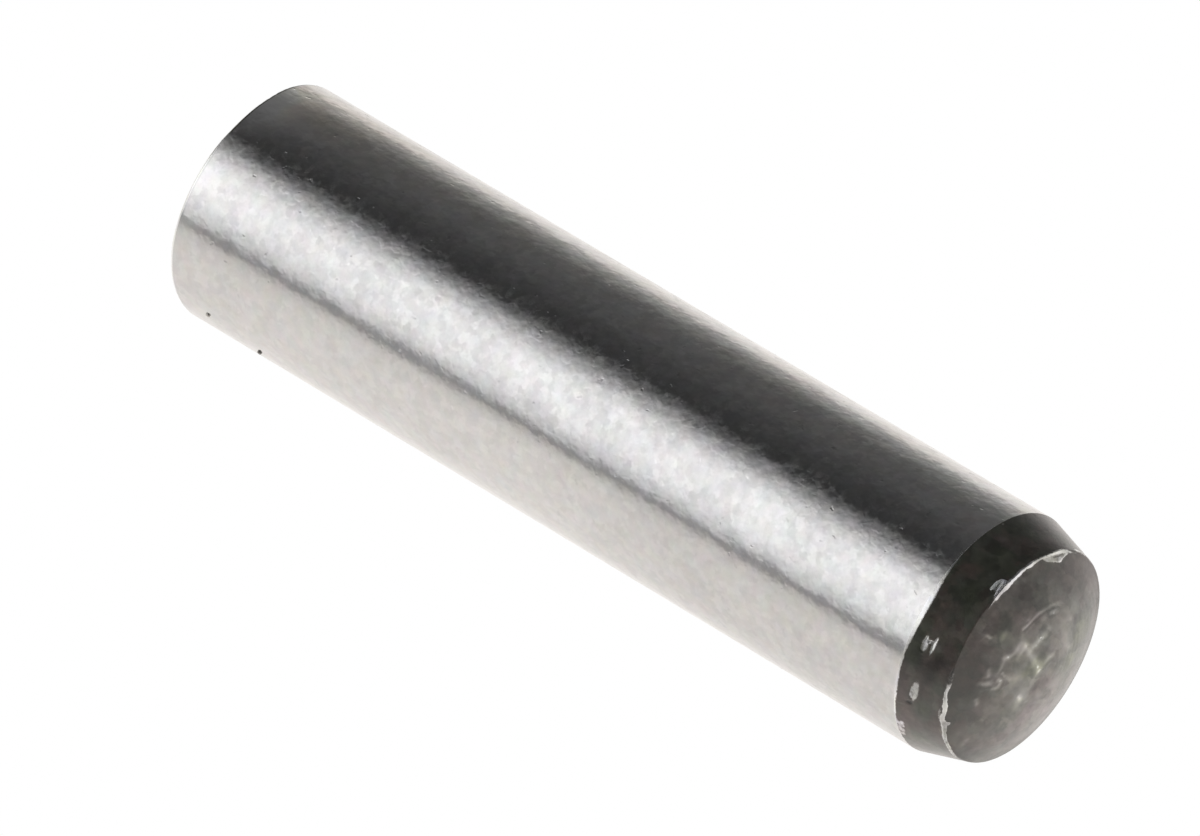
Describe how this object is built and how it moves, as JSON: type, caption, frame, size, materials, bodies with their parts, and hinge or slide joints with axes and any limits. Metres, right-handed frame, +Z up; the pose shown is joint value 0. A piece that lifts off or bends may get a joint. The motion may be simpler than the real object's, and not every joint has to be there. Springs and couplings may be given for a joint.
{
  "type": "dowel pin",
  "caption": "Solid hardened dowel pin: ground cylindrical shank, tapered lead end with a shallow domed face, shallow domed tail end.",
  "frame": {"origin": "on the pin's axis, half-way along its overall length", "axes": "+X along the pin's axis, towards the tapered lead end; +Z up, with the pin lying level; +Y completes the right hand"},
  "size_m": [0.0245, 0.006, 0.006],
  "materials": {
    "ground_steel": "bright ground shank with a fine satin grinding texture; the tapered lead end and both end faces are left unground and carry a dark grey hardening scale"
  },
  "bodies": {
    "root": {"dowel_pin": "ground_steel"}
  },
  "joints": []
}
